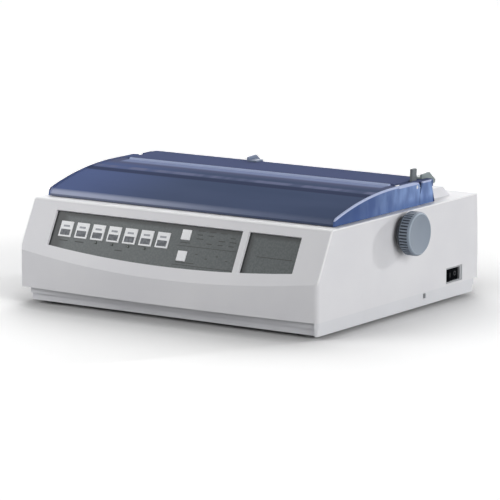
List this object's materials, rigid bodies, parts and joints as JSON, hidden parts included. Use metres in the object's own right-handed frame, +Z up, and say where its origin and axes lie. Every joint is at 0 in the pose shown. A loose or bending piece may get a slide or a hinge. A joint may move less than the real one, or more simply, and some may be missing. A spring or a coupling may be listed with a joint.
{
  "type": "dot matrix printer",
  "caption": "Desktop impact printer with a sloped key panel, hinged smoked cover, paper separator with sliding guides, side knob and working carriage and paper feed",
  "frame": {"origin": "on the resting plane, under the middle of the printer with its knob", "axes": "+X to the printer's right, +Y to its rear, +Z up"},
  "size_m": [0.4206, 0.345, 0.1555],
  "materials": {
    "case_white": "fine textured white ABS",
    "base_white": "fine textured white ABS",
    "foot_rubber": "matte",
    "steel": "plated",
    "panel_grey": "satin overlay",
    "key_white": "satin",
    "board_green": "solder mask",
    "smoke_blue": "clear smoked blue",
    "guide_grey": "satin",
    "platen_rubber": "ground rubber",
    "gear_white": "acetal",
    "knob_blue": "satin",
    "dark_plastic": "moulded",
    "switch_black": "moulded",
    "motor_grey": "plain",
    "head_alloy": "cast",
    "brass": "turned",
    "knob_teal": "moulded",
    "lever_grey": "moulded"
  },
  "bodies": {
    "printer": {"lower_case": "base_white", "upper_case": "case_white", "rubber_feet": "foot_rubber", "case_screws": "steel", "control_panel": "panel_grey", "name_panel": "panel_grey", "panel_board": "board_green", "chassis_plate": "steel", "side_frame_left": "steel", "side_frame_right": "steel", "carriage_shaft": "steel", "space_rack": "gear_white", "platen_bushes": "gear_white", "paper_chute": "dark_plastic", "line_feed_motor": "motor_grey", "tractor_rod": "steel", "main_board": "board_green", "transformer": "motor_grey", "power_inlet": "dark_plastic", "parallel_port": "steel", "switch_housing": "dark_plastic"},
    "power_rocker": {"power_rocker": "switch_black"},
    "access_cover": {"access_cover": "smoke_blue"},
    "paper_separator": {"paper_separator": "smoke_blue"},
    "paper_guide_left": {"paper_guide_left": "guide_grey"},
    "paper_guide_right": {"paper_guide_right": "guide_grey"},
    "platen": {"platen": "platen_rubber", "platen_shaft": "steel", "platen_gear": "gear_white", "platen_knob": "knob_blue"},
    "line_feed_gear": {"line_feed_gear": "gear_white"},
    "motor_pinion": {"motor_pinion": "brass"},
    "tractor_idle_gear": {"tractor_idle_gear": "gear_white"},
    "tractor_shaft": {"tractor_shaft": "steel"},
    "tractor_left": {"tractor_frame_left": "dark_plastic"},
    "tractor_right": {"tractor_frame_right": "dark_plastic"},
    "tractor_wheel_left": {"tractor_wheel_left": "gear_white"},
    "tractor_wheel_right": {"tractor_wheel_right": "gear_white"},
    "tractor_door_left": {"tractor_door_left": "dark_plastic"},
    "tractor_door_right": {"tractor_door_right": "dark_plastic"},
    "paper_bail": {"paper_bail": "steel"},
    "bail_rollers": {"bail_rollers": "platen_rubber"},
    "paper_release_lever": {"paper_release_lever": "lever_grey"},
    "head_gap_lever": {"head_gap_lever": "knob_teal"},
    "carriage": {"carriage_frame": "dark_plastic", "print_head": "head_alloy", "space_motor": "motor_grey", "ribbon_cartridge": "dark_plastic"},
    "space_pinion": {"space_pinion": "brass"},
    "ribbon_knob": {"ribbon_knob": "knob_teal"},
    "key_1": {"key_1": "key_white"},
    "key_2": {"key_2": "key_white"},
    "key_3": {"key_3": "key_white"},
    "key_4": {"key_4": "key_white"},
    "key_5": {"key_5": "key_white"},
    "key_6": {"key_6": "key_white"},
    "key_7": {"key_7": "key_white"},
    "small_key_1": {"small_key_1": "key_white"},
    "small_key_2": {"small_key_2": "key_white"}
  },
  "joints": [
    {"name": "access_cover_hinge", "type": "hinge", "parent": "printer", "child": "access_cover", "pos_m": [-0.01125, 0.049, 0.1375], "axis": [-1, 0, 0], "range_deg": [0, 70]},
    {"name": "paper_separator_hinge", "type": "hinge", "parent": "printer", "child": "paper_separator", "pos_m": [-0.01125, 0.033, 0.136], "axis": [1, 0, 0], "range_deg": [0, 45]},
    {"name": "paper_guide_left_slide", "type": "slide", "parent": "paper_separator", "child": "paper_guide_left", "axis": [1, 0, 0], "range_m": [-0.12, 0.06]},
    {"name": "paper_guide_right_slide", "type": "slide", "parent": "paper_separator", "child": "paper_guide_right", "axis": [1, 0, 0], "range_m": [-0.12, 0]},
    {"name": "platen_turn", "type": "hinge", "parent": "printer", "child": "platen", "pos_m": [-0.01125, 0.008, 0.0935], "axis": [1, 0, 0], "continuous": true},
    {"name": "line_feed_gear_turn", "type": "hinge", "parent": "printer", "child": "line_feed_gear", "pos_m": [-0.18925, 0.008, 0.0575], "axis": [1, 0, 0], "continuous": true},
    {"name": "motor_pinion_turn", "type": "hinge", "parent": "printer", "child": "motor_pinion", "pos_m": [-0.18925, 0.0308, 0.05], "axis": [1, 0, 0], "continuous": true},
    {"name": "tractor_idle_gear_turn", "type": "hinge", "parent": "printer", "child": "tractor_idle_gear", "pos_m": [-0.18925, 0.0358, 0.09013], "axis": [1, 0, 0], "continuous": true},
    {"name": "tractor_shaft_turn", "type": "hinge", "parent": "printer", "child": "tractor_shaft", "pos_m": [-0.01125, 0.057, 0.096], "axis": [1, 0, 0], "continuous": true},
    {"name": "tractor_left_slide", "type": "slide", "parent": "printer", "child": "tractor_left", "axis": [1, 0, 0], "range_m": [-0.01, 0.08]},
    {"name": "tractor_wheel_left_turn", "type": "hinge", "parent": "tractor_left", "child": "tractor_wheel_left", "pos_m": [-0.13125, 0.057, 0.096], "axis": [1, 0, 0], "continuous": true},
    {"name": "tractor_door_left_hinge", "type": "hinge", "parent": "tractor_left", "child": "tractor_door_left", "pos_m": [-0.13625, 0.067, 0.1093], "axis": [0, -1, 0], "range_deg": [0, 95]},
    {"name": "tractor_right_slide", "type": "slide", "parent": "printer", "child": "tractor_right", "axis": [1, 0, 0], "range_m": [-0.08, 0.01]},
    {"name": "tractor_wheel_right_turn", "type": "hinge", "parent": "tractor_right", "child": "tractor_wheel_right", "pos_m": [0.10875, 0.057, 0.096], "axis": [1, 0, 0], "continuous": true},
    {"name": "tractor_door_right_hinge", "type": "hinge", "parent": "tractor_right", "child": "tractor_door_right", "pos_m": [0.11375, 0.067, 0.1093], "axis": [0, 1, 0], "range_deg": [0, 95]},
    {"name": "paper_bail_hinge", "type": "hinge", "parent": "printer", "child": "paper_bail", "pos_m": [-0.01125, 0.034, 0.1], "axis": [-1, 0, 0], "range_deg": [0, 25]},
    {"name": "bail_rollers_turn", "type": "hinge", "parent": "paper_bail", "child": "bail_rollers", "pos_m": [-0.01125, -0.00088, 0.11253], "axis": [1, 0, 0], "continuous": true},
    {"name": "paper_release_lever_hinge", "type": "hinge", "parent": "printer", "child": "paper_release_lever", "pos_m": [0.16675, 0.06, 0.07], "axis": [1, 0, 0], "range_deg": [0, 18]},
    {"name": "head_gap_lever_hinge", "type": "hinge", "parent": "printer", "child": "head_gap_lever", "pos_m": [0.15475, -0.042, 0.07], "axis": [1, 0, 0], "range_deg": [-12, 12]},
    {"name": "carriage_slide", "type": "slide", "parent": "printer", "child": "carriage", "axis": [1, 0, 0], "range_m": [0, 0.208]},
    {"name": "space_pinion_turn", "type": "hinge", "parent": "carriage", "child": "space_pinion", "pos_m": [-0.11525, -0.075, 0.053], "axis": [0, 0, 1], "continuous": true},
    {"name": "ribbon_knob_turn", "type": "hinge", "parent": "carriage", "child": "ribbon_knob", "pos_m": [-0.08925, -0.082, 0.1], "axis": [0, 0, 1], "continuous": true},
    {"name": "power_rocker_hinge", "type": "hinge", "parent": "printer", "child": "power_rocker", "pos_m": [0.18435, 0.116, 0.03], "axis": [0, 0, -1], "range_deg": [0, 16]},
    {"name": "key_1_press", "type": "slide", "parent": "printer", "child": "key_1", "axis": [0, 0.8846, -0.4664], "range_m": [0, 0.0008], "stiffness_N_per_m": 300, "springref_m": -0.001},
    {"name": "key_2_press", "type": "slide", "parent": "printer", "child": "key_2", "axis": [0, 0.8846, -0.4664], "range_m": [0, 0.0008], "stiffness_N_per_m": 300, "springref_m": -0.001},
    {"name": "key_3_press", "type": "slide", "parent": "printer", "child": "key_3", "axis": [0, 0.8846, -0.4664], "range_m": [0, 0.0008], "stiffness_N_per_m": 300, "springref_m": -0.001},
    {"name": "key_4_press", "type": "slide", "parent": "printer", "child": "key_4", "axis": [0, 0.8846, -0.4664], "range_m": [0, 0.0008], "stiffness_N_per_m": 300, "springref_m": -0.001},
    {"name": "key_5_press", "type": "slide", "parent": "printer", "child": "key_5", "axis": [0, 0.8846, -0.4664], "range_m": [0, 0.0008], "stiffness_N_per_m": 300, "springref_m": -0.001},
    {"name": "key_6_press", "type": "slide", "parent": "printer", "child": "key_6", "axis": [0, 0.8846, -0.4664], "range_m": [0, 0.0008], "stiffness_N_per_m": 300, "springref_m": -0.001},
    {"name": "key_7_press", "type": "slide", "parent": "printer", "child": "key_7", "axis": [0, 0.8846, -0.4664], "range_m": [0, 0.0008], "stiffness_N_per_m": 300, "springref_m": -0.001},
    {"name": "small_key_1_press", "type": "slide", "parent": "printer", "child": "small_key_1", "axis": [0, 0.8846, -0.4664], "range_m": [0, 0.0008], "stiffness_N_per_m": 300, "springref_m": -0.001},
    {"name": "small_key_2_press", "type": "slide", "parent": "printer", "child": "small_key_2", "axis": [0, 0.8846, -0.4664], "range_m": [0, 0.0008], "stiffness_N_per_m": 300, "springref_m": -0.001}
  ],
  "couplings": [
    {"joint": "line_feed_gear_turn", "follows": "platen_turn", "ratio": -1},
    {"joint": "motor_pinion_turn", "follows": "platen_turn", "ratio": 3},
    {"joint": "tractor_idle_gear_turn", "follows": "platen_turn", "ratio": -1.8},
    {"joint": "tractor_shaft_turn", "follows": "platen_turn", "ratio": 1.5},
    {"joint": "tractor_wheel_left_turn", "follows": "platen_turn", "ratio": 1.5},
    {"joint": "tractor_wheel_right_turn", "follows": "platen_turn", "ratio": 1.5},
    {"joint": "space_pinion_turn", "follows": "carriage_slide", "rad_per_m": -111.11}
  ]
}
